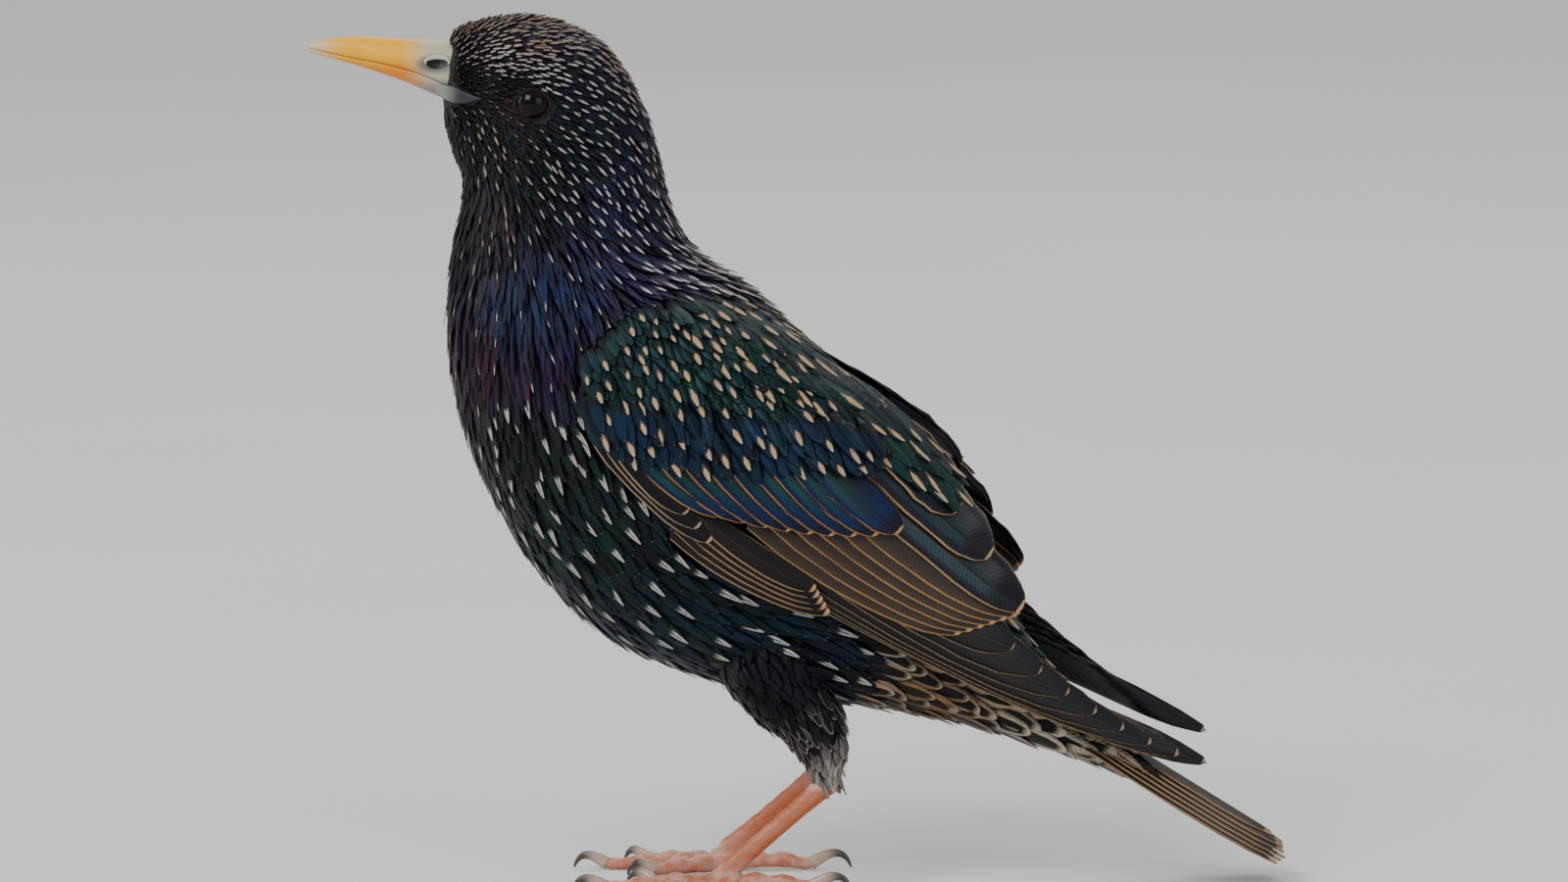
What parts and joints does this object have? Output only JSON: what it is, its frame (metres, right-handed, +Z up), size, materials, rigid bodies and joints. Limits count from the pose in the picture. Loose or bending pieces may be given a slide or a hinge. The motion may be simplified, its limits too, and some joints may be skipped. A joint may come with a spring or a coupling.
{
  "type": "starling model",
  "caption": "Life-size still model of a starling standing upright, folded wings, straight pointed bill, short square tail and spread toes.",
  "frame": {"origin": "middle of the bird's length and width, on the floor under its feet", "axes": "+X towards the tail, -X the way the bill points, -Y the bird's left side, +Z up"},
  "size_m": [0.1664, 0.054, 0.149],
  "materials": {
    "plumage": "glossy dark plumage, purple and green sheen, pale spots",
    "wing_feathers": "dark flight feathers with buff edges",
    "tail_feathers": "dark brown-grey feathers with buff edges",
    "bill": "smooth yellow horn",
    "eye": "dark and glossy",
    "leg": "scaled skin",
    "claw": "dull horn"
  },
  "bodies": {
    "root": {"head": "plumage", "neck": "plumage", "torso": "plumage", "rump": "plumage", "tail": "tail_feathers", "bill_upper": "bill", "bill_lower": "bill", "eye_left": "eye", "wing_left": "wing_feathers", "thigh_left": "plumage", "shank_left": "leg", "foot_left": "leg", "claw_inner_left": "claw", "claw_middle_left": "claw", "claw_outer_left": "claw", "claw_hind_left": "claw", "eye_right": "eye", "wing_right": "wing_feathers", "thigh_right": "plumage", "shank_right": "leg", "foot_right": "leg", "claw_inner_right": "claw", "claw_middle_right": "claw", "claw_outer_right": "claw", "claw_hind_right": "claw"}
  },
  "joints": []
}
